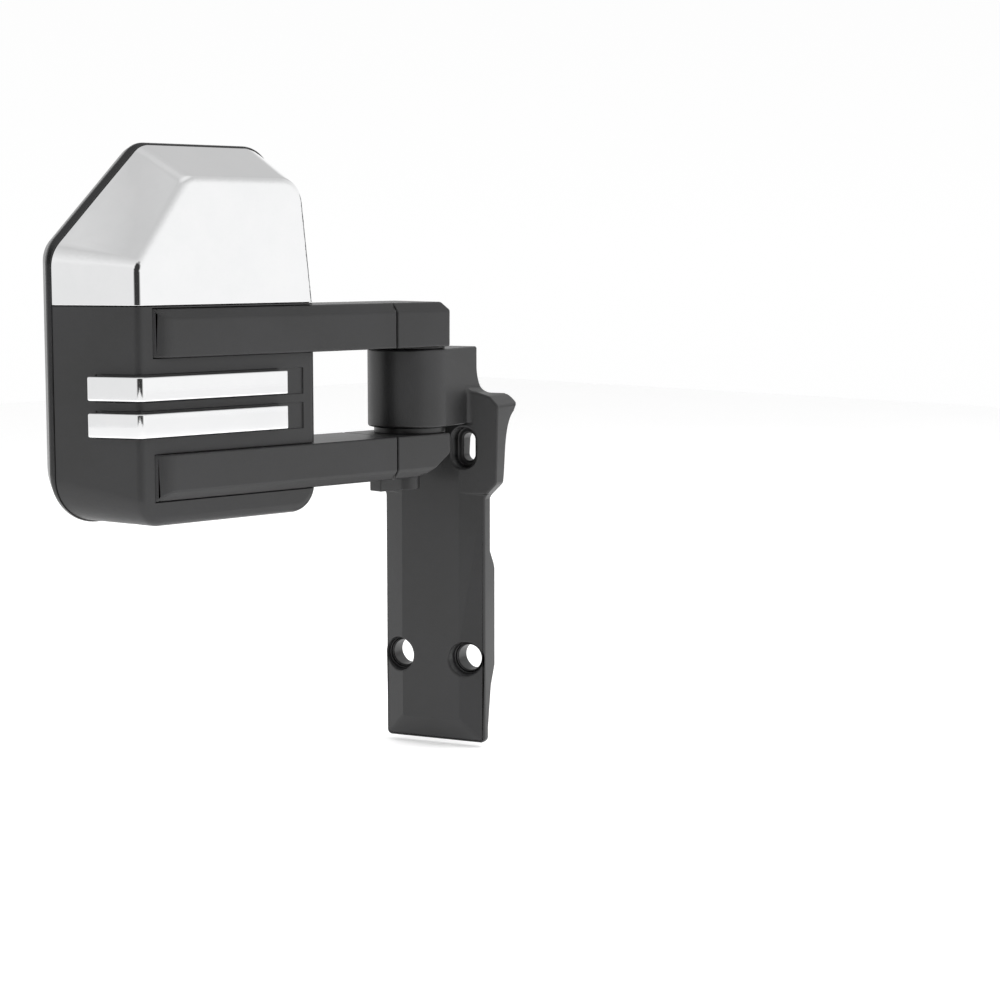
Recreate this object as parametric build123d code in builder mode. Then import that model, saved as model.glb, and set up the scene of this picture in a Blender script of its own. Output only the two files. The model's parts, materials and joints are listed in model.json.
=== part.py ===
from build123d import *
import math
import os

# Extendable towing mirror for the right-hand side of a vehicle, in millimetres.
# Origin: middle of the flat mounting face on the back of the base bracket.
# +X runs outboard along the arms, +Y forward (the glass faces -Y), +Z up.

# ---- driving dimensions ------------------------------------------------------------------
BASE_ANGLE = 20.3  # the mounting face's outward normal, turned from +X towards +Y
PIVOT_OUT = 67.5  # fold axis, out from the mounting face
PIVOT_UP = 200.0  # middle of the two arms, above the middle of the mounting face

ARM_HALF = 35.0  # half depth of arms, fore and aft
ARM_IN = 36.2  # inner faces of both arms, from the middle plane
ARM_UPPER = 73.2  # top of the upper arm
ARM_LOWER = 71.8  # bottom of the lower arm
ARM_CHAMFER_Y = 6.0
ARM_CHAMFER_Z = 7.5
KNUCKLE_IN = -16.0  # inboard end of both knuckles
KNUCKLE_OUT = 44.0
SEAM_GAP = 0.9
SLEEVE_IN = KNUCKLE_OUT + SEAM_GAP
SLEEVE_FLAT_END = 267.5
SLEEVE_END_RADIUS = 23.0
SLEEVE_STEP_X = 118.0  # past here the sleeve is shallower, to leave room for the glass drives
SLEEVE_STEP_Y = -15.8

BARREL_RADIUS = 35.2
BARREL_TOP = 34.0
BARREL_BOTTOM = -31.0
BUSH_RADIUS = 15.0
TUBE_RADIUS = 12.0
RUNNING_FIT = 0.06  # radial clearance of every turning fit
WASHER_RADIUS = 30.0

RAIL_Y = (-11.0, 29.0)  # outer faces of the inner rails
RAIL_Z = (42.2, 67.2)  # of the upper rail; the lower one is mirrored
RAIL_WALL = 3.5
RAIL_IN = 24.0
RAIL_OUT = 205.0
CAVITY_GAP = 1.0  # sleeve cavity, clear of the rail all round
CAVITY_END = 262.0
BUSH_LENGTH = 15.0
BUSH_STEP = 1.0
SLIDE_GAP = 0.25

# Fore and aft stations of the head, from the fold axis.
RING_Y = -49.6
WIDE_Y = -38.0
LIP_Y = -36.2
BACK_Y = -34.4
NOSE_Y = 29.0
SKIN = 3.0
PART_GAP = 0.3
SEAM_Z = (74.7, 75.5)  # top of the black shell, bottom of the chrome cap

FLOOR_Y = (-45.4, -42.4)  # front and back of the bezel's inner wall
RIM_Y = -46.6
RIM_WIDTH = 1.5
GLASS_Y = (-45.0, -42.8)
HOLDER_BACK_Y = -41.3
HOLDER_GAP = 1.6
GIMBAL_Y = -34.0
GIMBAL_HALF = 20.0
PIN_RADIUS = 2.0

TRIM_PROUD = 9.5
TRIM_HEIGHT = 18.3
TRIM_BOTTOMS = {"upper_trim": 4.8, "lower_trim": -22.5}
TRIM_RECESS = 1.2
TRIM_MARGIN = 1.2
TRIM_ROUND = 7.5
TRIM_END_ROUND = 1.5
TRIM_SIDE_END = -1.0
TRIM_INBOARD = 162.0
RECESS_INBOARD = 139.5
NOSE_ROUND = 8.0
TONGUE_WALL = 2.0

HOLE_T = 31.6  # counterbored mounting holes, fore and aft of the bracket's middle
HOLE_Z = -35.0  # their height from the middle of the mounting face
HOLE_RADIUS = 11.0
COUNTERBORE_RADIUS = 14.4
SLOT_T = 31.0
SLOT_Z = 148.0

# Outlines are (x, z, corner radius), anticlockwise seen from behind the mirror.
RING = [
    (119.5, -83.5, 24),
    (326.5, -83.5, 36),
    (326.5, 117, 22),
    (248, 195.5, 16),
    (122, 195.5, 26),
    (119.5, 72, 80),
]
WIDE = [
    (112, -91, 28),
    (332, -91, 40),
    (332, 117.5, 28),
    (251, 198.5, 22),
    (115, 198.5, 32),
    (112, 72, 80),
]
BACK = [
    (116, -89, 24),
    (329.5, -89, 34),
    (329.5, 114, 26),
    (246.5, 197, 20),
    (119, 197, 28),
    (116, 72, 80),
]
NOSE = [
    (126, -91, 22),
    (296, -91, 22),
    (296, 105.5, 16),
    (250, 171, 16),
    (139, 171, 22),
    (126, 72, 80),
]
UPPER_WINDOW = [(129, 11, 7), (313.4, 11, 7), (313.4, 110.3, 9), (238.7, 185, 9), (129, 185, 12)]
LOWER_WINDOW = [(131.5, -74.5, 10), (316, -74.5, 19), (316, 4.4, 8), (131.5, 4.4, 8)]
UPPER_CENTRE = (221.0, 98.0)
LOWER_CENTRE = (223.5, -35.0)

# ---- places ------------------------------------------------------------------------------
ANGLE = math.radians(BASE_ANGLE)
OUT = (math.cos(ANGLE), math.sin(ANGLE), 0)
FORE = (-math.sin(ANGLE), math.cos(ANGLE), 0)
PX = PIVOT_OUT * OUT[0]
PY = PIVOT_OUT * OUT[1]
PZ = PIVOT_UP

BASE_SIDE = Plane(origin=(0, 0, 0), x_dir=OUT, z_dir=(OUT[1], -OUT[0], 0))


def base_plan(height):
    """Level plane of the bracket: x outboard from the mounting face, y forward."""
    return Plane(origin=(0, 0, height), x_dir=OUT, z_dir=(0, 0, 1))


def base_front(out):
    """Upright plane across the bracket, a given distance out from the mounting face."""
    return Plane(origin=(out * OUT[0], out * OUT[1], 0), x_dir=FORE, z_dir=OUT)


def level(height):
    """Level plane of the arms and head, with its origin on the fold axis."""
    return Plane(origin=(PX, PY, PZ + height), x_dir=(1, 0, 0), z_dir=(0, 0, 1))


def facing(depth):
    """Upright plane across the head: x outboard, y up, normal to the rear."""
    return Plane(origin=(PX, PY + depth, PZ), x_dir=(1, 0, 0), z_dir=(0, -1, 0))


def across(out):
    """Upright plane across the arms: x forward, y up, normal outboard."""
    return Plane(origin=(PX + out, PY, PZ), x_dir=(0, 1, 0), z_dir=(1, 0, 0))


def out_of(shape):
    """How far a shape's middle stands out from the mounting face."""
    return shape.center().X * OUT[0] + shape.center().Y * OUT[1]


def fore_of(shape):
    """How far forward of the bracket's middle a shape's middle is."""
    return shape.center().X * FORE[0] + shape.center().Y * FORE[1]


def grown(outline, amount):
    """The outline with every side moved out by amount, and its corner radii to match."""
    sides = []
    for i, (x, z, _) in enumerate(outline):
        x2, z2, _ = outline[(i + 1) % len(outline)]
        length = math.hypot(x2 - x, z2 - z)
        normal = ((z2 - z) / length, -(x2 - x) / length)
        sides.append((normal, normal[0] * x + normal[1] * z + amount))
    corners = []
    for i, (_, _, radius) in enumerate(outline):
        (ax, az), a = sides[i - 1]
        (bx, bz), b = sides[i]
        det = ax * bz - az * bx
        x = (a * bz - b * az) / det
        z = (ax * b - bx * a) / det
        corners.append((x, z, max(radius + amount, 0.5)))
    return corners


def rectangle(centre, half_x, half_z, radius):
    """Outline of a rounded rectangle about a centre."""
    x, z = centre
    return [
        (x - half_x, z - half_z, radius),
        (x + half_x, z - half_z, radius),
        (x + half_x, z + half_z, radius),
        (x - half_x, z + half_z, radius),
    ]


def outline_face(outline):
    """Fills the open sketch with a rounded outline."""
    with BuildLine() as border:
        FilletPolyline(*[(x, z) for x, z, _ in outline], radius=[r for _, _, r in outline], close=True)
    make_face(border.line)


def outline_loft(near, near_y, far, far_y, mode=Mode.ADD):
    """Straight-sided body between two outlines at two stations of the head."""
    with BuildSketch(facing(near_y)) as near_end:
        outline_face(near)
    with BuildSketch(facing(far_y)) as far_end:
        outline_face(far)
    loft([near_end.sketch, far_end.sketch], ruled=True, mode=mode)


def outline_block(outline, near_y, far_y, mode=Mode.ADD):
    """Straight block of an outline between two stations, near_y being the rearmost."""
    with BuildSketch(facing(far_y)) as profile:
        outline_face(outline)
    extrude(profile.sketch, amount=far_y - near_y, mode=mode)


def head_box(x, y, z, mode=Mode.ADD):
    """Box between two limits on each axis, measured from the fold axis."""
    with BuildSketch(level(z[0])) as profile:
        with Locations(((x[0] + x[1]) / 2, (y[0] + y[1]) / 2)):
            Rectangle(x[1] - x[0], y[1] - y[0])
    extrude(profile.sketch, amount=z[1] - z[0], mode=mode)


def spindle(radius, bottom, top, mode=Mode.ADD):
    """Upright cylinder on the fold axis."""
    with BuildSketch(level(bottom)) as profile:
        Circle(radius)
    extrude(profile.sketch, amount=top - bottom, mode=mode)


def cross_pin(centre, radius, x, z, length, direction, mode=Mode.ADD):
    """Pin or bore of a gimbal, starting at an offset from its centre, along x or z."""
    normal = (1, 0, 0) if direction == "x" else (0, 0, 1)
    start = (PX + centre[0] + x, PY + GIMBAL_Y, PZ + centre[1] + z)
    with BuildSketch(Plane(origin=start, x_dir=(0, 1, 0), z_dir=normal)) as profile:
        Circle(radius)
    extrude(profile.sketch, amount=length, mode=mode)


def cylinder_between(centre, radius, near_y, far_y, mode=Mode.ADD):
    """Round bar running fore and aft."""
    with BuildSketch(facing(far_y)) as profile:
        with Locations(centre):
            Circle(radius)
    extrude(profile.sketch, amount=far_y - near_y, mode=mode)


def arm_run(upper, start, end, gap=0.0, mode=Mode.ADD):
    """Straight length of an arm: flat inner face, flat sides, chamfered outer edges."""
    side = 1 if upper else -1
    half = ARM_HALF + gap
    inner = ARM_IN - gap
    outer = (ARM_UPPER if upper else ARM_LOWER) + gap
    with BuildSketch(across(start)) as profile:
        with BuildLine() as border:
            Polyline(
                (-half, side * inner),
                (half, side * inner),
                (half, side * (outer - ARM_CHAMFER_Z)),
                (half - ARM_CHAMFER_Y, side * outer),
                (-half + ARM_CHAMFER_Y, side * outer),
                (-half, side * (outer - ARM_CHAMFER_Z)),
                close=True,
            )
        make_face(border.line)
    extrude(profile.sketch, amount=end - start, mode=mode)


def rail_bar(upper, x, grow, mode=Mode.ADD):
    """Rectangular bar of the rail's section, grown by an amount all round."""
    low = RAIL_Z[0] - grow
    high = RAIL_Z[1] + grow
    z = (low, high) if upper else (-high, -low)
    head_box(x, (RAIL_Y[0] - grow, RAIL_Y[1] + grow), z, mode)


def sleeve_envelope(upper, gap=0.0):
    """Outside of a sleeve: full depth beside the head, shallower and round-ended inside it."""
    inboard = SLEEVE_IN - gap
    outboard = SLEEVE_FLAT_END + SLEEVE_END_RADIUS + gap
    step_x = SLEEVE_STEP_X + gap
    step_y = SLEEVE_STEP_Y - gap
    front = ARM_HALF + gap
    radius = SLEEVE_END_RADIUS + gap
    with BuildPart() as envelope:
        arm_run(upper, inboard, outboard, gap)
        with BuildSketch(level(-100)):
            with BuildLine():
                Polyline((inboard, front), (inboard, -front), (step_x, -front), (step_x, step_y))
                Line((step_x, step_y), (outboard, step_y))
                Line((outboard, step_y), (outboard, front - radius))
                RadiusArc((outboard, front - radius), (outboard - radius, front), -radius)
                Line((outboard - radius, front), (inboard, front))
            make_face()
        extrude(amount=200, mode=Mode.INTERSECT)
    return envelope.part


def save(part, name):
    """Labels a finished piece and writes it."""
    part.label = name
    export_step(part, "parts/" + name + ".step")


os.makedirs("parts", exist_ok=True)

# ---- base bracket ------------------------------------------------------------------------
FACE_OUT = 30.0  # main facet, out from the mounting face
FACE_HALF = 27.4
PLATE_HALF = 47.8
PLATE_EDGE_OUT = 21.2
FIN_HALF = 60.0
FIN_EDGE_OUT = 20.2
FIN_TOP = 196.0
CASTING_CUT = 52.0
SHOULDER_ROUND = 6.0
BRACKET_BOTTOM = -109.0
BLOCK_BACK = 9.0
FACET_REACH = 1.4  # the slanted facets' cut runs past the casting's edge by this factor
POCKET_T = 10.5
POCKET_WIDTH = 15.0
POCKET_FLOOR = 22.0  # pocket floors, out from the mounting face
POCKET_HEIGHTS = (-28.0, 38.0)
COUNTERBORE_FLOOR = 18.0
SLOT_FLOOR = 17.0
SLOT_SIZE = (24.0, 11.0)
SLOT_POCKET_SIZE = (35.0, 21.0)
THROUGH = 120.0  # length of a cut that goes right through the casting

with BuildPart() as casting:
    # The plate's and fin's side profile, drawn once and carried across the bracket.
    with BuildSketch(BASE_SIDE):
        with BuildLine():
            Line((FACE_OUT, BRACKET_BOTTOM + 20), (FACE_OUT, PIVOT_UP + BARREL_BOTTOM))
            Line((FACE_OUT, PIVOT_UP + BARREL_BOTTOM), (FACE_OUT, FIN_TOP))
            Line((FACE_OUT, FIN_TOP), (-12, 193))
            TangentArc((-12, 193), (-19, 184), tangent=(-1, 0))
            Line((-19, 184), (-13, 177))
            Spline((-13, 177), (-4, 169), (1, 156), (3, 138), (5, 118))
            Line((5, 118), (9, 104))
            Line((9, 104), (9, 58))
            Line((9, 58), (2, 47))
            Line((2, 47), (0, 42))
            Line((0, 42), (0, -43))
            Line((0, -43), (7.5, -60))
            Line((7.5, -60), (13.5, -97))
            Line((13.5, -97), (13.5, BRACKET_BOTTOM))
            Line((13.5, BRACKET_BOTTOM), (PLATE_EDGE_OUT, BRACKET_BOTTOM))
            Line((PLATE_EDGE_OUT, BRACKET_BOTTOM), (FACE_OUT, BRACKET_BOTTOM + 20))
        make_face()
    extrude(amount=FIN_HALF, both=True)
    # Front outline: narrow shoulders, wide fin, plate.
    with BuildSketch(base_front(-30)):
        with BuildLine():
            half = [
                (BARREL_RADIUS, 198, 1),
                (FIN_HALF - 7, 192, 6),
                (FIN_HALF, 184, 6),
                (FIN_HALF - 1.5, 117, 5),
                (PLATE_HALF, 105, 6),
                (PLATE_HALF, BRACKET_BOTTOM, 5),
            ]
            right = half + [(-t, z, r) for t, z, r in reversed(half)]
            FilletPolyline(*[(t, z) for t, z, _ in right], radius=[r for _, _, r in right], close=True)
        make_face()
    extrude(amount=80, mode=Mode.INTERSECT)
    # Slanted facets of the plate, and shallower ones over the fin.
    for bottom, top, edge_out, edge_half in (
        (BRACKET_BOTTOM - 1, 108, PLATE_EDGE_OUT, PLATE_HALF),
        (108, 200, FIN_EDGE_OUT, FIN_HALF),
    ):
        for side in (1, -1):
            near_t = side * FACE_HALF
            far_t = side * (FACE_HALF + (edge_half - FACE_HALF) * FACET_REACH)
            far_out = FACE_OUT + (edge_out - FACE_OUT) * FACET_REACH
            with BuildSketch(base_plan(bottom)):
                with BuildLine():
                    Polyline((FACE_OUT, near_t), (far_out, far_t), (60, far_t), (60, near_t), close=True)
                make_face()
            extrude(amount=top - bottom, mode=Mode.SUBTRACT)
    # Block and barrel that carry the fold axis.
    with BuildSketch(base_plan(PIVOT_UP + BARREL_BOTTOM)):
        with Locations((PIVOT_OUT, 0)):
            Circle(BARREL_RADIUS)
        with Locations(((BLOCK_BACK + PIVOT_OUT) / 2, 0)):
            Rectangle(PIVOT_OUT - BLOCK_BACK, 2 * BARREL_RADIUS)
    extrude(amount=BARREL_TOP - BARREL_BOTTOM)
    # Hollow curve from the back of the block down to the lip.
    with BuildSketch(BASE_SIDE):
        with BuildLine():
            Line((BLOCK_BACK + 1, 216), (BLOCK_BACK, 216))
            RadiusArc((BLOCK_BACK, 216), (-8, 193), 27)
            Line((-8, 193), (BLOCK_BACK + 1, 190))
            Line((BLOCK_BACK + 1, 190), (BLOCK_BACK + 1, 216))
        make_face()
    extrude(amount=BARREL_RADIUS, both=True)
    # Cast blends between the block's sides and the fin, along its front and its top.
    shoulders = [
        edge
        for edge in edges()
        if abs(abs(fore_of(edge)) - BARREL_RADIUS) < 0.2
        and BLOCK_BACK < out_of(edge) < FACE_OUT - 1
        and edge.center().Z < FIN_TOP + 2
    ]
    fillet(shoulders, SHOULDER_ROUND)
    # Bore for the pivot bushes.
    spindle(BUSH_RADIUS, BARREL_BOTTOM - 1, BARREL_TOP + 1, Mode.SUBTRACT)
    # Lightening pockets in the back of the casting, either side of a middle rib, below the cut.
    low, high = POCKET_HEIGHTS
    for side in (1, -1):
        with BuildSketch(base_front(-1)):
            with Locations((side * POCKET_T, (low + high) / 2)):
                RectangleRounded(POCKET_WIDTH, high - low, 4)
        extrude(amount=POCKET_FLOOR + 1, mode=Mode.SUBTRACT)
    # Counterbored mounting holes.
    for side in (1, -1):
        with BuildSketch(base_front(-40)):
            with Locations((side * HOLE_T, HOLE_Z)):
                Circle(HOLE_RADIUS)
        extrude(amount=THROUGH, mode=Mode.SUBTRACT)
        with BuildSketch(base_front(COUNTERBORE_FLOOR)):
            with Locations((side * HOLE_T, HOLE_Z)):
                Circle(COUNTERBORE_RADIUS)
        extrude(amount=20, mode=Mode.SUBTRACT)
    # Adjusting slots in pockets under the block.
    for side in (1, -1):
        with BuildSketch(base_front(-40)):
            with Locations((side * SLOT_T, SLOT_Z)):
                SlotOverall(*SLOT_SIZE, rotation=90)
        extrude(amount=THROUGH, mode=Mode.SUBTRACT)
        with BuildSketch(base_front(SLOT_FLOOR)):
            with Locations((side * SLOT_T, SLOT_Z)):
                SlotOverall(*SLOT_POCKET_SIZE, rotation=90)
        extrude(amount=20, mode=Mode.SUBTRACT)

# The one casting is kept as two nodes that meet at a level cut across its middle web.
for name, kept in (("base_bracket", Keep.TOP), ("base_plate", Keep.BOTTOM)):
    with BuildPart() as section:
        add(casting.part)
        split(bisect_by=Plane.XY.offset(CASTING_CUT), keep=kept)
    save(section.part, name)

# ---- fold pivot --------------------------------------------------------------------------
for name, bottom, top in (("upper_bush", 6.0, BARREL_TOP - 0.3), ("lower_bush", BARREL_BOTTOM + 0.3, -6.0)):
    with BuildPart() as bush:
        spindle(BUSH_RADIUS - 0.02, bottom, top)
        spindle(TUBE_RADIUS + RUNNING_FIT, bottom - 1, top + 1, Mode.SUBTRACT)
    save(bush.part, name)

for name, bottom, top in (
    ("upper_washer", BARREL_TOP + PART_GAP, ARM_IN - 0.05),
    ("lower_washer", -ARM_IN + 0.05, BARREL_BOTTOM - PART_GAP),
):
    with BuildPart() as washer:
        spindle(WASHER_RADIUS, bottom, top)
        spindle(TUBE_RADIUS + 0.1, bottom - 1, top + 1, Mode.SUBTRACT)
    save(washer.part, name)

BOLT_RADIUS = 5.0
BOLT_CLEARANCE = 0.4
BOLT_HEAD_RADIUS = 8.0
BOLT_BOTTOM = -70.0
BOLT_HEAD_TOP = -61.0
BOLT_TOP = 58.0
NUT_BOTTOM = 47.0
NUT_HEIGHT = 9.0
NUT_RADIUS = 9.8  # across the corners
NUT_POCKET_RADIUS = 10.2
CAP_X = 5.5
CAP_RADIUS = 12.4
CAP_BOTTOM = -84.0
with BuildPart() as pivot_tube:
    spindle(TUBE_RADIUS, -ARM_IN + 0.02, ARM_IN - 0.02)
    spindle(BOLT_RADIUS + BOLT_CLEARANCE, -ARM_IN - 1, ARM_IN + 1, Mode.SUBTRACT)
save(pivot_tube.part, "pivot_tube")

with BuildPart() as pivot_bolt:
    spindle(BOLT_HEAD_RADIUS, BOLT_BOTTOM, BOLT_HEAD_TOP)
    spindle(BOLT_RADIUS, BOLT_HEAD_TOP, BOLT_TOP)
    # Hexagon socket in the head.
    with BuildSketch(level(BOLT_BOTTOM)):
        RegularPolygon(radius=4.6, side_count=6)
    extrude(amount=5, mode=Mode.SUBTRACT)
save(pivot_bolt.part, "pivot_bolt")

with BuildPart() as pivot_nut:
    with BuildSketch(level(NUT_BOTTOM)):
        RegularPolygon(radius=NUT_RADIUS, side_count=6)
        Circle(BOLT_RADIUS + 0.02, mode=Mode.SUBTRACT)
    extrude(amount=NUT_HEIGHT)
save(pivot_nut.part, "pivot_nut")

with BuildPart() as disc_springs:
    for index in range(3):
        low = -60.9 + index * 1.2
        with BuildSketch(Plane(origin=(PX, PY, PZ), x_dir=(1, 0, 0), z_dir=(0, -1, 0))):
            with BuildLine():
                Polyline(
                    (BOLT_RADIUS + 0.3, low + 0.4),
                    (BOLT_HEAD_RADIUS, low),
                    (BOLT_HEAD_RADIUS, low + 0.6),
                    (BOLT_RADIUS + 0.3, low + 1.0),
                    close=True,
                )
            make_face()
        revolve(axis=Axis((PX, PY, PZ), (0, 0, 1)))
save(disc_springs.part, "disc_springs")

# ---- yoke knuckles and inner rails -------------------------------------------------------
for upper in (True, False):
    place = "upper" if upper else "lower"
    with BuildPart() as knuckle:
        arm_run(upper, KNUCKLE_IN, KNUCKLE_OUT)
        inboard = knuckle.edges().filter_by(Axis.Z).group_by(Axis.X)[0]
        fillet(inboard, 4)
        if upper:
            # The top edge of the inboard end is chamfered like the sides.
            with BuildSketch(facing(50)):
                with BuildLine():
                    Polyline(
                        (KNUCKLE_IN - 1, ARM_UPPER + 1),
                        (KNUCKLE_IN + ARM_CHAMFER_Y, ARM_UPPER + 1),
                        (KNUCKLE_IN + ARM_CHAMFER_Y, ARM_UPPER),
                        (KNUCKLE_IN, ARM_UPPER - ARM_CHAMFER_Z),
                        (KNUCKLE_IN - 1, ARM_UPPER - ARM_CHAMFER_Z),
                        close=True,
                    )
                make_face()
            extrude(amount=100, mode=Mode.SUBTRACT)
        else:
            # The inboard lower corner is cut away by a long slant that eases into the bottom.
            with BuildSketch(facing(50)):
                with BuildLine():
                    Polyline(
                        (KNUCKLE_IN - 1, -51.3),
                        (KNUCKLE_IN, -52),
                        (8, -69),
                        (20, -ARM_LOWER),
                        (20, -ARM_LOWER - 2),
                        (KNUCKLE_IN - 1, -ARM_LOWER - 2),
                        close=True,
                    )
                make_face()
            extrude(amount=100, mode=Mode.SUBTRACT)
        rail_bar(upper, (RAIL_IN, KNUCKLE_OUT + 1), 0.05, Mode.SUBTRACT)
        if upper:
            # Bolt hole, and a blind pocket for the nut.
            spindle(BOLT_RADIUS + BOLT_CLEARANCE, ARM_IN - 1, BOLT_TOP + 2, Mode.SUBTRACT)
            spindle(NUT_POCKET_RADIUS, NUT_BOTTOM - 1, BOLT_TOP + 2, Mode.SUBTRACT)
        else:
            # Bolt hole, and a counterbore for the bolt head and its springs.
            spindle(BOLT_RADIUS + BOLT_CLEARANCE, -60, -ARM_IN + 1, Mode.SUBTRACT)
            spindle(BOLT_HEAD_RADIUS + BOLT_CLEARANCE, -80, -57, Mode.SUBTRACT)
    save(knuckle.part, place + "_knuckle")

    with BuildPart() as rail:
        rail_bar(upper, (RAIL_IN, RAIL_OUT), 0)
        rail_bar(upper, (RAIL_IN + 4, RAIL_OUT + 1), -RAIL_WALL, Mode.SUBTRACT)
    save(rail.part, place + "_rail")

    with BuildPart() as pad:
        rail_bar(upper, (RAIL_OUT - BUSH_LENGTH, RAIL_OUT), CAVITY_GAP - SLIDE_GAP)
        rail_bar(upper, (RAIL_OUT - BUSH_LENGTH - 1, RAIL_OUT + 1), 0.02, Mode.SUBTRACT)
    save(pad.part, place + "_rail_pad")

    solid_sleeve = sleeve_envelope(upper)
    with BuildPart() as sleeve:
        add(solid_sleeve)
        rail_bar(upper, (SLEEVE_IN - 1, CAVITY_END), CAVITY_GAP, Mode.SUBTRACT)
        rail_bar(upper, (SLEEVE_IN - 1, SLEEVE_IN + BUSH_LENGTH), CAVITY_GAP + BUSH_STEP, Mode.SUBTRACT)
    save(sleeve.part, place + "_sleeve")

    with BuildPart() as slide_bush:
        rail_bar(upper, (SLEEVE_IN + 0.2, SLEEVE_IN + BUSH_LENGTH - 0.1), CAVITY_GAP + BUSH_STEP - 0.03)
        rail_bar(upper, (SLEEVE_IN - 1, SLEEVE_IN + BUSH_LENGTH + 1), SLIDE_GAP, Mode.SUBTRACT)
    save(slide_bush.part, place + "_slide_bush")

with BuildPart() as pivot_cap:
    with BuildSketch(level(CAP_BOTTOM)):
        with Locations((CAP_X, 0)):
            Circle(CAP_RADIUS)
        with Locations((CAP_X + 20, 0)):
            Rectangle(27, 14)
    extrude(amount=20)
    # Its top follows the slant and the flat of the knuckle.
    with BuildSketch(facing(50)):
        with BuildLine():
            Polyline(
                (KNUCKLE_IN - 1, -51.5),
                (KNUCKLE_IN, -52.2),
                (8, -69.2),
                (20, -ARM_LOWER - 0.2),
                (45, -ARM_LOWER - 0.2),
                (45, -40),
                (KNUCKLE_IN - 1, -40),
                close=True,
            )
        make_face()
    extrude(amount=100, mode=Mode.SUBTRACT)
    spindle(BOLT_HEAD_RADIUS + BOLT_CLEARANCE, -80, -50, Mode.SUBTRACT)
save(pivot_cap.part, "pivot_cap")

# ---- head shell, chrome cap and trim -----------------------------------------------------


def side_x(offset, y):
    """X of the head's outboard side wall at a station, with the wall moved out by an offset."""
    run = NOSE_Y - BACK_Y
    lean = NOSE[1][0] - BACK[1][0]
    return BACK[1][0] + lean * (y - BACK_Y) / run + offset * math.hypot(run, lean) / run


def trim_plan(inner, outer, side_end, inboard_end):
    """Plan of a strip that wraps the corner between two offsets from the shell's surface."""
    with BuildLine() as border:
        Polyline(
            (side_x(inner, side_end), side_end),
            (side_x(outer, side_end), side_end),
            (side_x(outer, NOSE_Y + outer), NOSE_Y + outer),
            (inboard_end, NOSE_Y + outer),
            (inboard_end, NOSE_Y + inner),
            (side_x(inner, NOSE_Y + inner), NOSE_Y + inner),
            close=True,
        )
    make_face(border.line)


def skin_layer(outer, inner):
    """Layer of the head's tapered wall between two depths below its surface, open at the back."""
    back = BACK_Y + PART_GAP
    outline_loft(grown(BACK, -outer), back, grown(NOSE, -outer), NOSE_Y - outer)
    if outer == 0:
        fillet(faces().sort_by(Axis.Y)[-1].edges(), NOSE_ROUND)
    outline_loft(grown(BACK, -inner), back, grown(NOSE, -inner), NOSE_Y - inner, Mode.SUBTRACT)


UPPER_SPACE = sleeve_envelope(True, PART_GAP)
LOWER_SPACE = sleeve_envelope(False, PART_GAP)

# Tongue that stands up behind the seam, for the chrome cap to slide over.
with BuildPart() as tongue:
    skin_layer(SKIN + PART_GAP, SKIN + TONGUE_WALL)
    head_box((100, 340), (-40, 40), (SEAM_Z[0] - 8, SEAM_Z[1] + 6), Mode.INTERSECT)

# Band that ties the tongue to the shell, below the seam.
with BuildPart() as tongue_root:
    skin_layer(SKIN - 0.2, SKIN + TONGUE_WALL)
    head_box((100, 340), (-40, 40), (SEAM_Z[0] - 8, SEAM_Z[0]), Mode.INTERSECT)

with BuildPart() as rear_shell:
    skin_layer(0, SKIN)
    split(bisect_by=Plane.XY.offset(PZ + SEAM_Z[0]), keep=Keep.BOTTOM)
    add(tongue_root.part)
    add(tongue.part)
    add(UPPER_SPACE, mode=Mode.SUBTRACT)
    add(LOWER_SPACE, mode=Mode.SUBTRACT)
    for bottom in TRIM_BOTTOMS.values():
        with BuildSketch(level(bottom - TRIM_MARGIN)):
            trim_plan(-TRIM_RECESS, TRIM_RECESS, TRIM_SIDE_END - 2 * TRIM_MARGIN, RECESS_INBOARD)
        extrude(amount=TRIM_HEIGHT + 2 * TRIM_MARGIN, mode=Mode.SUBTRACT)
save(rear_shell.part, "rear_shell")

with BuildPart() as chrome_cap:
    skin_layer(0, SKIN)
    split(bisect_by=Plane.XY.offset(PZ + SEAM_Z[1]), keep=Keep.TOP)
save(chrome_cap.part, "chrome_cap")

for name, bottom in TRIM_BOTTOMS.items():
    with BuildPart() as trim:
        with BuildSketch(level(bottom)):
            trim_plan(-TRIM_RECESS + 0.2, TRIM_PROUD, TRIM_SIDE_END, TRIM_INBOARD)
        extrude(amount=TRIM_HEIGHT)
        # The front's two upright edges: a small round inboard, a large one at the head's corner.
        front_edges = trim.edges().filter_by(Axis.Z).group_by(Axis.Y)[-1].sort_by(Axis.X)
        fillet(front_edges[-1], TRIM_ROUND)
        inboard_edge = trim.edges().filter_by(Axis.Z).group_by(Axis.Y)[-1].sort_by(Axis.X)[0]
        fillet(inboard_edge, TRIM_END_ROUND)
    save(trim.part, name)

# ---- bezel -------------------------------------------------------------------------------
with BuildPart() as bezel:
    outline_loft(RING, RING_Y, WIDE, WIDE_Y)
    outline_block(WIDE, WIDE_Y, LIP_Y)
    outline_loft(WIDE, LIP_Y, grown(BACK, 1.0), BACK_Y)
    outline_loft(grown(RING, -4.5), RING_Y, grown(RING, -8.5), FLOOR_Y[0], Mode.SUBTRACT)
    outline_block(grown(BACK, -6), FLOOR_Y[1], BACK_Y, Mode.SUBTRACT)
    for window in (UPPER_WINDOW, LOWER_WINDOW):
        outline_block(grown(window, RIM_WIDTH), RIM_Y, FLOOR_Y[0])
    for window in (UPPER_WINDOW, LOWER_WINDOW):
        outline_block(window, RIM_Y - 1, FLOOR_Y[1] + 1, Mode.SUBTRACT)
    # Notches in the back edge where the two arms pass.
    add(UPPER_SPACE, mode=Mode.SUBTRACT)
    add(LOWER_SPACE, mode=Mode.SUBTRACT)
save(bezel.part, "bezel")

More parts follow.
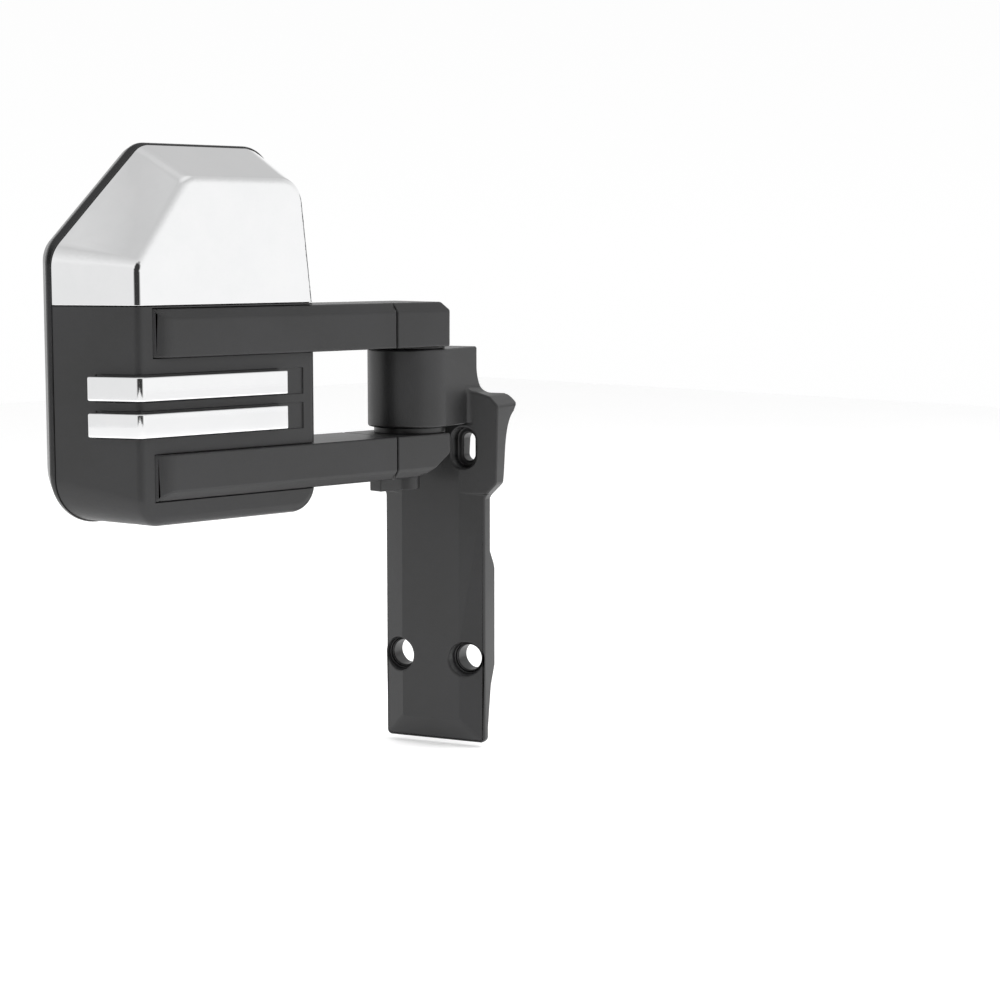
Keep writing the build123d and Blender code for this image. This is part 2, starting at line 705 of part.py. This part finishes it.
# ---- head frame and the glass drives -----------------------------------------------------
FRAME_Y = (-19.2, SLEEVE_STEP_Y)
with BuildPart() as head_frame:
    outline_block(grown(BACK, -17), FRAME_Y[0], FRAME_Y[1])
    for centre in (UPPER_CENTRE, LOWER_CENTRE):
        outline_block(rectangle(centre, 12, 12, 3), FRAME_Y[0] - 1, FRAME_Y[1] + 1, Mode.SUBTRACT)
save(head_frame.part, "head_frame")

FRAME_SCREW_HEAD = 3.6
ACTUATOR_SCREW_HEAD = 2.8
ACTUATOR_SCREW_HEIGHT = 1.8
FRAME_SCREWS = [(140, 54), (275, 54), (140, -54), (275, -54)]
with BuildPart() as frame_screws:
    for x, z in FRAME_SCREWS:
        cylinder_between((x, z), FRAME_SCREW_HEAD, FRAME_Y[0] - 2.2, FRAME_Y[0] - 0.02)
save(frame_screws.part, "frame_screws")

HOUSING_Y = (-24.0, FRAME_Y[0] - 0.02)
HOUSING_HALF = (34.0, 27.0)
for place, centre, window in (
    ("upper", UPPER_CENTRE, UPPER_WINDOW),
    ("lower", LOWER_CENTRE, LOWER_WINDOW),
):
    cx, cz = centre
    with BuildPart() as actuator:
        outline_block(rectangle(centre, *HOUSING_HALF, 6), HOUSING_Y[0], HOUSING_Y[1])
        for side in (1, -1):
            x1, x2 = sorted((cx + side * 20.6, cx + side * 25.6))
            head_box((x1, x2), (GIMBAL_Y - 3, HOUSING_Y[0] + 1), (cz - 6, cz + 6))
        cross_pin(centre, PIN_RADIUS + RUNNING_FIT, -27, 0, 54, "x", Mode.SUBTRACT)
    save(actuator.part, place + "_actuator")

    with BuildPart() as gimbal:
        half = GIMBAL_HALF
        ring = rectangle(centre, half, half, 3)
        outline_block(ring, GIMBAL_Y - 2.5, GIMBAL_Y + 2.5)
        outline_block(grown(ring, -6.5), GIMBAL_Y - 4, GIMBAL_Y + 4, Mode.SUBTRACT)
        cross_pin(centre, PIN_RADIUS, half - 3, 0, 8, "x")
        cross_pin(centre, PIN_RADIUS, -half - 5, 0, 8, "x")
        cross_pin(centre, PIN_RADIUS + RUNNING_FIT, 0, -half - 2, 2 * half + 4, "z", Mode.SUBTRACT)
    save(gimbal.part, place + "_gimbal")

    with BuildPart() as holder:
        outline_block(grown(window, -HOLDER_GAP), GLASS_Y[0] + 0.4, HOLDER_BACK_Y)
        outline_block(grown(window, -HOLDER_GAP - 0.8), GLASS_Y[0] - 1, GLASS_Y[1], Mode.SUBTRACT)
        for side in (1, -1):
            z1, z2 = sorted((cz + side * 20.8, cz + side * 26))
            head_box((cx - 5, cx + 5), (HOLDER_BACK_Y - 0.5, GIMBAL_Y + 3), (z1, z2))
        cross_pin(centre, PIN_RADIUS, 0, 15, 7, "z")
        cross_pin(centre, PIN_RADIUS, 0, -22, 7, "z")
    save(holder.part, place + "_glass_holder")

    with BuildPart() as glass:
        if place == "upper":
            outline_block(grown(window, -HOLDER_GAP - 0.9), GLASS_Y[0], GLASS_Y[1] - 0.02)
        else:
            # The spotter bulges: its rear-facing surface is part of a large sphere.
            outline_block(grown(window, -HOLDER_GAP - 0.9), GLASS_Y[0] - 1.2, GLASS_Y[1] - 0.02)
            crown = 2200.0
            apex = (PX + cx, PY + GLASS_Y[0] - 1.2 + crown, PZ + cz)
            with Locations(apex):
                Sphere(crown, mode=Mode.INTERSECT)
    save(glass.part, place + "_glass")

ACTUATOR_SCREWS = [(-29, -22), (29, -22), (-29, 22), (29, 22)]
with BuildPart() as actuator_screws:
    seat = HOUSING_Y[0] - 0.02
    for cx, cz in (UPPER_CENTRE, LOWER_CENTRE):
        for dx, dz in ACTUATOR_SCREWS:
            cylinder_between((cx + dx, cz + dz), ACTUATOR_SCREW_HEAD, seat - ACTUATOR_SCREW_HEIGHT, seat)
save(actuator_screws.part, "actuator_screws")
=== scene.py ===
import json
import math

import bmesh
import bpy
from mathutils import Matrix, Vector


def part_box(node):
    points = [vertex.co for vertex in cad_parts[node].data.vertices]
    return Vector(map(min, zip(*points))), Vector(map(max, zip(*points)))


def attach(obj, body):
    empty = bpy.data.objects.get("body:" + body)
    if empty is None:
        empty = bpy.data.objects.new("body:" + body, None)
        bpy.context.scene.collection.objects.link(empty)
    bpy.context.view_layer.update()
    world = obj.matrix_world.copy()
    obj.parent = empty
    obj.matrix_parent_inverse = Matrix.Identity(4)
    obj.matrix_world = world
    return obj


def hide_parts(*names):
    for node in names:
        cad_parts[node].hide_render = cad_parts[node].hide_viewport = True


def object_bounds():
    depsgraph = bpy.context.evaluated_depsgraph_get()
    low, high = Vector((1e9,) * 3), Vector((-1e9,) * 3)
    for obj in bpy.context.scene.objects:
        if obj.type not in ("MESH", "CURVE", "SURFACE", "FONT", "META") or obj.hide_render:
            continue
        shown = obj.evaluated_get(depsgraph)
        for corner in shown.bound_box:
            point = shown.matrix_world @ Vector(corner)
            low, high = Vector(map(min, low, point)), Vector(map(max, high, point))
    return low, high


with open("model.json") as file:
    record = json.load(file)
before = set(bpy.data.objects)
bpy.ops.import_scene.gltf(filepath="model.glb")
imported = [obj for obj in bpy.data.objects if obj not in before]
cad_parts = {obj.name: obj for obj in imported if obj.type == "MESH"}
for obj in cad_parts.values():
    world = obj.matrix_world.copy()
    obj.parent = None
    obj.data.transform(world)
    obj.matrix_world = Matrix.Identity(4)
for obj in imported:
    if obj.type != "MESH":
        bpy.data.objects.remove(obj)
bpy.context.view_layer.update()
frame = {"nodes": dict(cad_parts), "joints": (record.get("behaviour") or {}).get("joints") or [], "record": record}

# Blender looks for the extendable towing mirror. Everything is in metres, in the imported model's frame:
# +X outboard along the arms, +Y forward, +Z up, the glass facing -Y.

MM = 0.001
JOINTS = {joint["name"]: joint for joint in frame["joints"]}
PIVOT = Vector(JOINTS["fold"]["pos_m"])


# ---- node helpers --------------------------------------------------------------------------


class Nodes:
    """Short way to write a material's node tree."""

    def __init__(self, name):
        self.material = bpy.data.materials.new(name)
        self.material.use_nodes = True
        self.tree = self.material.node_tree
        self.shader = self.tree.nodes["Principled BSDF"]
        coordinates = self.tree.nodes.new("ShaderNodeTexCoord")
        self.place = coordinates.outputs["Object"]

    def add(self, kind, inputs=(), **settings):
        node = self.tree.nodes.new(kind)
        for key, value in settings.items():
            setattr(node, key, value)
        for key, value in dict(inputs).items():
            self.set(node.inputs[key], value)
        return node

    def set(self, socket, value):
        if isinstance(value, bpy.types.NodeSocket):
            self.tree.links.new(value, socket)
        else:
            socket.default_value = value

    def noise(self, scale, detail=3.0, roughness=0.5, stretch=None):
        """Noise in object space; scale is in waves per metre."""
        place = self.place
        if stretch:
            place = self.add("ShaderNodeMapping", {"Vector": place, "Scale": stretch}).outputs["Vector"]
        inputs = {"Vector": place, "Scale": scale, "Detail": detail, "Roughness": roughness}
        return self.add("ShaderNodeTexNoise", inputs).outputs["Fac"]

    def range(self, value, low, high, to_low, to_high):
        """Maps one stretch of values to another, clamped."""
        inputs = {"Value": value, "From Min": low, "From Max": high, "To Min": to_low, "To Max": to_high}
        return self.add("ShaderNodeMapRange", inputs, clamp=True).outputs["Result"]

    def mix(self, factor, first, second):
        """Blend of two colours."""
        node = self.add("ShaderNodeMix", data_type="RGBA")
        self.set(node.inputs["Factor"], factor)
        self.set(node.inputs[6], first)
        self.set(node.inputs[7], second)
        return node.outputs[2]

    def math(self, operation, first, second):
        node = self.add("ShaderNodeMath", operation=operation)
        self.set(node.inputs[0], first)
        self.set(node.inputs[1], second)
        return node.outputs[0]

    def bump(self, layers):
        """Chain of (height, strength, distance) bumps into the shader's normal."""
        normal = None
        for height, strength, distance in layers:
            inputs = {"Height": height, "Strength": strength, "Distance": distance}
            node = self.add("ShaderNodeBump", inputs)
            if normal is not None:
                self.tree.links.new(normal, node.inputs["Normal"])
            normal = node.outputs["Normal"]
        self.tree.links.new(normal, self.shader.inputs["Normal"])


def moulded_plastic(name, dark, light, rough, grain_size, grain_depth):
    """Injection-moulded plastic: spark-eroded grain, slow shade changes and faint handling scuffs."""
    n = Nodes(name)
    cloud = n.noise(14.0, 4.0, 0.6)
    speckle = n.noise(2200.0, 2.0, 0.6)
    shade = n.mix(n.range(cloud, 0.3, 0.7, 0.0, 1.0), (*dark, 1), (*light, 1))
    scuff = n.range(n.noise(420.0, 5.0, 0.75, stretch=(1.0, 1.0, 0.25)), 0.66, 0.80, 0.0, 0.5)
    pale = tuple(min(1.0, c * 2.2) for c in light)
    n.set(n.shader.inputs["Base Color"], n.mix(scuff, shade, (*pale, 1)))
    broad = n.range(cloud, 0.3, 0.7, rough - 0.03, rough + 0.03)
    fine = n.range(speckle, 0.3, 0.7, -0.03, 0.03)
    n.set(n.shader.inputs["Roughness"], n.math("ADD", broad, fine))
    n.shader.inputs["Specular IOR Level"].default_value = 0.5
    cells = {"Vector": n.place, "Scale": 1.0 / grain_size}
    grain = n.add("ShaderNodeTexVoronoi", cells, feature="SMOOTH_F1")
    n.bump([
        (grain.outputs["Distance"], 0.5, grain_depth),
        (n.noise(0.7 / grain_size, 3.0, 0.6), 0.5, 1.5 * grain_depth),
        (n.noise(22.0, 2.0), 0.10, 0.4 * MM),
    ])
    return n.material


def chrome_plating(name):
    """Bright plating on plastic: a little waviness, faint haze and wipe marks."""
    n = Nodes(name)
    haze = n.noise(30.0, 4.0, 0.65)
    shade = n.range(haze, 0.3, 0.7, 0.0, 1.0)
    n.set(n.shader.inputs["Base Color"], n.mix(shade, (0.90, 0.905, 0.91, 1), (0.93, 0.93, 0.935, 1)))
    n.shader.inputs["Metallic"].default_value = 1.0
    wipe = n.noise(60.0, 3.0, 0.6, stretch=(1.0, 1.0, 6.0))
    broad = n.range(haze, 0.35, 0.7, 0.04, 0.055)
    fine = n.range(wipe, 0.5, 0.8, 0.0, 0.02)
    n.set(n.shader.inputs["Roughness"], n.math("ADD", broad, fine))
    n.bump([(n.noise(7.0, 1.0), 0.04, 1.0 * MM)])
    return n.material


def mirror_glass(name):
    """Silvered glass with the faintest haze of dust."""
    n = Nodes(name)
    dust = n.noise(900.0, 3.0, 0.7)
    specks = n.range(dust, 0.55, 0.75, 0.0, 1.0)
    n.set(n.shader.inputs["Base Color"], n.mix(specks, (0.90, 0.915, 0.92, 1), (0.83, 0.84, 0.85, 1)))
    n.shader.inputs["Metallic"].default_value = 1.0
    n.set(n.shader.inputs["Roughness"], n.range(n.noise(40.0, 4.0, 0.7), 0.35, 0.75, 0.0, 0.02))
    n.shader.inputs["Coat Weight"].default_value = 1.0
    n.shader.inputs["Coat Roughness"].default_value = 0.02
    n.bump([(n.noise(5.0, 1.0), 0.03, 0.5 * MM)])
    return n.material


def plated_steel(name):
    """Zinc-plated steel: turned rings' fine lines, spangle and a little dullness."""
    n = Nodes(name)
    spangle = n.noise(700.0, 3.0, 0.6)
    shade = n.range(spangle, 0.35, 0.65, 0.0, 1.0)
    n.set(n.shader.inputs["Base Color"], n.mix(shade, (0.50, 0.50, 0.51, 1), (0.68, 0.68, 0.69, 1)))
    n.shader.inputs["Metallic"].default_value = 1.0
    n.set(n.shader.inputs["Roughness"], n.range(n.noise(120.0, 4.0), 0.3, 0.7, 0.22, 0.38))
    n.bump([(n.noise(2500.0, 2.0, stretch=(0.15, 0.15, 1.0)), 0.2, 0.02 * MM)])
    return n.material


def drawn_aluminium(name):
    """Drawn tube: fine lines along its length."""
    n = Nodes(name)
    lines = n.noise(1800.0, 3.0, 0.6, stretch=(0.01, 1.0, 1.0))
    shade = n.range(lines, 0.35, 0.65, 0.0, 1.0)
    n.set(n.shader.inputs["Base Color"], n.mix(shade, (0.60, 0.61, 0.62, 1), (0.75, 0.76, 0.77, 1)))
    n.shader.inputs["Metallic"].default_value = 1.0
    n.set(n.shader.inputs["Roughness"], n.range(lines, 0.3, 0.7, 0.25, 0.40))
    n.bump([(lines, 0.25, 0.02 * MM)])
    return n.material


# Each moulded plastic: name, dark and light colour, roughness, grain size and grain depth.
PLASTICS = {
    "bracket_plastic": ("Bracket plastic", (0.011,) * 3, (0.016, 0.016, 0.017), 0.40, 0.8 * MM, 0.09 * MM),
    "arm_plastic": ("Arm plastic", (0.012,) * 3, (0.017, 0.017, 0.018), 0.39, 0.7 * MM, 0.10 * MM),
    "shell_plastic": ("Casing plastic", (0.011,) * 3, (0.016, 0.016, 0.017), 0.40, 0.8 * MM, 0.10 * MM),
    "bezel_plastic": ("Bezel plastic", (0.009,) * 3, (0.013, 0.013, 0.014), 0.26, 0.4 * MM, 0.012 * MM),
    "inner_plastic": ("Inner plastic", (0.02,) * 3, (0.03, 0.03, 0.031), 0.5, 0.6 * MM, 0.03 * MM),
    "holder_plastic": ("Holder plastic", (0.016,) * 3, (0.024, 0.024, 0.025), 0.5, 0.6 * MM, 0.03 * MM),
    "bearing_plastic": ("Bearing plastic", (0.60, 0.59, 0.54), (0.70, 0.69, 0.65), 0.4, 0.5 * MM, 0.01 * MM),
    "thrust_plastic": ("Thrust washer plastic", (0.012,) * 3, (0.016,) * 3, 0.35, 0.8 * MM, 0.005 * MM),
}


def make_materials():
    """One material for each of the record's slots."""
    materials = {slot: moulded_plastic(*look) for slot, look in PLASTICS.items()}
    materials["chrome_plating"] = chrome_plating("Chrome plating")
    materials["mirror_glass"] = mirror_glass("Mirror glass")
    materials["bright_steel"] = plated_steel("Plated steel")
    materials["rail_aluminium"] = drawn_aluminium("Drawn aluminium")
    return materials


MATERIALS = make_materials()
SLOT_OF = {entry["node"]: entry["material_slot"] for entry in frame["record"]["subparts"]}


# Radius of the rounded edges of each CAD node that is seen.
# Known fault: on the bezel, the merge of flats leaves a face that bridges both of its windows.
ROUNDS = {
    "upper_knuckle": 1.5 * MM,
    "lower_knuckle": 1.5 * MM,
    "upper_sleeve": 1.5 * MM,
    "lower_sleeve": 1.5 * MM,
    "pivot_cap": 0.9 * MM,
    "rear_shell": 0.4 * MM,
    "chrome_cap": 0.3 * MM,
    "upper_trim": 1.3 * MM,
    "lower_trim": 1.3 * MM,
    "bezel": 0.35 * MM,
    "upper_washer": 0.3 * MM,
    "lower_washer": 0.5 * MM,
    "upper_glass": 0.4 * MM,
    "lower_glass": 0.4 * MM,
}
ROUND_ANGLE = 25.0  # degrees; edges sharper than this are rounded
FACET_ANGLE = 13.0  # degrees; edges between this and ROUND_ANGLE stay crisp on the casting
CASTING_ROUND = 1.8 * MM
FLAT_ANGLE = 0.6  # degrees; triangles that differ by less are merged


def round_edges(piece, width):
    """Modifiers that merge a CAD mesh's flat triangles and round its sharp edges."""
    weld = piece.modifiers.new("weld", "WELD")
    weld.merge_threshold = 0.002 * MM
    merge = piece.modifiers.new("merge flats", "DECIMATE")
    merge.decimate_type = "DISSOLVE"
    merge.angle_limit = math.radians(FLAT_ANGLE)
    rounds = piece.modifiers.new("rounds", "BEVEL")
    rounds.width = width
    rounds.segments = 3
    rounds.limit_method = "ANGLE"
    rounds.angle_limit = math.radians(ROUND_ANGLE)
    rounds.use_clamp_overlap = False
    piece.modifiers.new("normals", "WEIGHTED_NORMAL")


def finish_cad_node(name):
    """Gives a CAD node its material and, where ROUNDS names it, softly rounded edges."""
    piece = frame["nodes"][name]
    piece.data.materials.clear()
    piece.data.materials.append(MATERIALS[SLOT_OF[name]])
    if name in ROUNDS:
        round_edges(piece, ROUNDS[name])


for node_name in frame["nodes"]:
    finish_cad_node(node_name)


def make_casting():
    """The base bracket as one piece, joined from the two nodes that hold it, with cast rounds."""
    nodes = ("base_bracket", "base_plate")
    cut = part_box("base_plate")[1].z
    shape = bmesh.new()
    for name in nodes:
        shape.from_mesh(frame["nodes"][name].data)
    caps = [face for face in shape.faces if all(abs(vert.co.z - cut) < 0.001 * MM for vert in face.verts)]
    bmesh.ops.delete(shape, geom=caps, context="FACES")
    bmesh.ops.remove_doubles(shape, verts=shape.verts, dist=0.005 * MM)
    for face in shape.faces:
        face.smooth = True
    # The plate's shallow facets stay crisp; sharper edges are rounded.
    for edge in shape.edges:
        edge.smooth = not FACET_ANGLE < math.degrees(edge.calc_face_angle(0.0)) < ROUND_ANGLE
    mesh = bpy.data.meshes.new("bracket_casting")
    shape.to_mesh(mesh)
    shape.free()
    piece = bpy.data.objects.new("bracket_casting", mesh)
    bpy.context.scene.collection.objects.link(piece)
    piece.data.materials.append(MATERIALS["bracket_plastic"])
    round_edges(piece, CASTING_ROUND)
    piece.modifiers["normals"].keep_sharp = True
    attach(piece, "base")
    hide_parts(*nodes)


make_casting()


# ---- floor, light and camera ---------------------------------------------------------------


def plain_material(name, colour, rough, glow=0.0):
    """Pale plain material; its glow evens a far floor out with the wall behind it."""
    n = Nodes(name)
    tone = n.noise(3.0, 3.0)
    paler = tuple(min(1.0, c * 1.03) for c in colour)
    n.set(n.shader.inputs["Base Color"], n.mix(tone, (*colour, 1), (*paler, 1)))
    n.shader.inputs["Roughness"].default_value = rough
    n.shader.inputs["Emission Color"].default_value = (1, 1, 1, 1)
    n.shader.inputs["Emission Strength"].default_value = glow
    return n.material


# Flags round the studio: azimuth from +X towards +Y, elevation, radius, soft edge, grey.
FLAGS = (
    (0, -4, 16, 12, 0.85),
    (217, 40, 14, 12, 0.60),
    (52, 2, 24, 14, 0.04),
    (183, 0, 9, 4, 0.08),
)


FLOOR_HALF = 4.0


def make_floor():
    """Plain pale floor well under the bracket."""
    low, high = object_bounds()
    mesh = bpy.data.meshes.new("floor")
    shape = bmesh.new()
    bmesh.ops.create_grid(shape, x_segments=1, y_segments=1, size=FLOOR_HALF)
    shape.to_mesh(mesh)
    shape.free()
    floor = bpy.data.objects.new("floor", mesh)
    floor.location = (0.1, 0.0, low.z - 0.004)
    floor.data.materials.append(plain_material("Floor", (0.97, 0.97, 0.97), 0.9, glow=0.22))
    bpy.context.scene.collection.objects.link(floor)


def make_area(name, place, target, size, power):
    """Soft box light that looks at a target and isn't seen in the plating."""
    data = bpy.data.lights.new(name, "AREA")
    data.shape = "RECTANGLE"
    data.size, data.size_y = size
    data.energy = power
    lamp = bpy.data.objects.new(name, data)
    lamp.visible_glossy = False
    lamp.location = place
    lamp.rotation_euler = (Vector(target) - Vector(place)).to_track_quat("-Z", "Y").to_euler()
    bpy.context.scene.collection.objects.link(lamp)
    return lamp


def make_world():
    """White studio seen in the chrome: bright walls, a greyer ceiling and a few dark flags."""
    world = bpy.data.worlds.new("studio")
    world.use_nodes = True
    tree = world.node_tree
    direction = tree.nodes.new("ShaderNodeTexCoord").outputs["Generated"]
    split = tree.nodes.new("ShaderNodeSeparateXYZ")
    tree.links.new(direction, split.inputs["Vector"])
    height = tree.nodes.new("ShaderNodeValToRGB")
    ramp = height.color_ramp
    ramp.elements[0].position, ramp.elements[0].color = 0.0, (0.95, 0.95, 0.95, 1)
    ramp.elements[1].position, ramp.elements[1].color = 1.0, (0.9, 0.9, 0.9, 1)
    for position, grey in ((0.5, 1.0), (0.65, 0.95), (0.8, 0.78), (0.92, 0.62)):
        stop = ramp.elements.new(position)
        stop.color = (grey, grey, grey, 1)
    half = tree.nodes.new("ShaderNodeMapRange")
    half.inputs["From Min"].default_value = -1.0
    tree.links.new(split.outputs["Z"], half.inputs["Value"])
    tree.links.new(half.outputs["Result"], height.inputs["Fac"])
    colour = height.outputs["Color"]
    for azimuth, elevation, radius, soft, grey in FLAGS:
        around, up = math.radians(azimuth), math.radians(elevation)
        axis = (math.cos(around) * math.cos(up), math.sin(around) * math.cos(up), math.sin(up))
        along = tree.nodes.new("ShaderNodeVectorMath")
        along.operation = "DOT_PRODUCT"
        along.inputs[1].default_value = axis
        tree.links.new(direction, along.inputs[0])
        inside = tree.nodes.new("ShaderNodeMapRange")
        inside.inputs["From Min"].default_value = math.cos(math.radians(radius + soft))
        inside.inputs["From Max"].default_value = math.cos(math.radians(radius))
        tree.links.new(along.outputs["Value"], inside.inputs["Value"])
        darken = tree.nodes.new("ShaderNodeMix")
        darken.data_type = "RGBA"
        tree.links.new(inside.outputs["Result"], darken.inputs["Factor"])
        tree.links.new(colour, darken.inputs[6])
        darken.inputs[7].default_value = (grey, grey, grey, 1)
        colour = darken.outputs[2]
    background = tree.nodes["Background"]
    tree.links.new(colour, background.inputs["Color"])
    background.inputs["Strength"].default_value = 1.0
    bpy.context.scene.world = world


CAMERA_ANGLES = (50.94, 4.96, -0.57)  # azimuth from +X towards +Y, pitch and roll, in degrees


def direction(azimuth, elevation):
    """Unit vector at an azimuth from +X towards +Y and an elevation, in radians."""
    level = math.cos(elevation)
    return Vector((math.cos(azimuth) * level, math.sin(azimuth) * level, math.sin(elevation)))


def make_camera():
    """Long lens at the photograph's viewing angle, with the mirror left of the middle."""
    azimuth, pitch, roll = (math.radians(angle) for angle in CAMERA_ANGLES)
    distance = 1836.84 * MM
    focal = 2.280
    target = PIVOT + Vector((136.56, 0.0, -39.25)) * MM
    back = direction(azimuth, pitch)
    right = Vector((-math.sin(azimuth), math.cos(azimuth), 0.0))
    right = Matrix.Rotation(roll, 3, back) @ right
    up = back.cross(right)
    turn = Matrix((right, up, back)).transposed()
    # Where the target sits in the picture, from the middle, as shares of the frame's width.
    aside = Vector((-0.2165, 0.055, -focal)).normalized()
    swing = aside.rotation_difference(Vector((0, 0, -1)))
    data = bpy.data.cameras.new("camera")
    data.sensor_width = 36.0
    data.lens = focal * data.sensor_width
    data.clip_end = 100.0
    camera = bpy.data.objects.new("camera", data)
    camera.rotation_mode = "QUATERNION"
    camera.location = target + back * distance
    camera.rotation_quaternion = turn.to_quaternion() @ swing
    bpy.context.scene.collection.objects.link(camera)
    bpy.context.scene.camera = camera


bpy.context.scene.view_settings.view_transform = "Standard"
make_floor()
make_world()
make_camera()
HEAD = PIVOT + Vector((0.2, 0.0, 0.05))


def from_head(azimuth, elevation, distance):
    """A place round the head: azimuth from +X towards +Y, elevation, in degrees."""
    return HEAD + distance * direction(math.radians(azimuth), math.radians(elevation))


make_area("front top light", from_head(118, 38, 2.4), HEAD, (2.2, 1.6), 36)
make_area("outboard light", from_head(10, 20, 2.4), HEAD, (2.0, 1.8), 20)
make_area("rear light", from_head(-110, 35, 2.4), HEAD, (2.0, 1.6), 14)
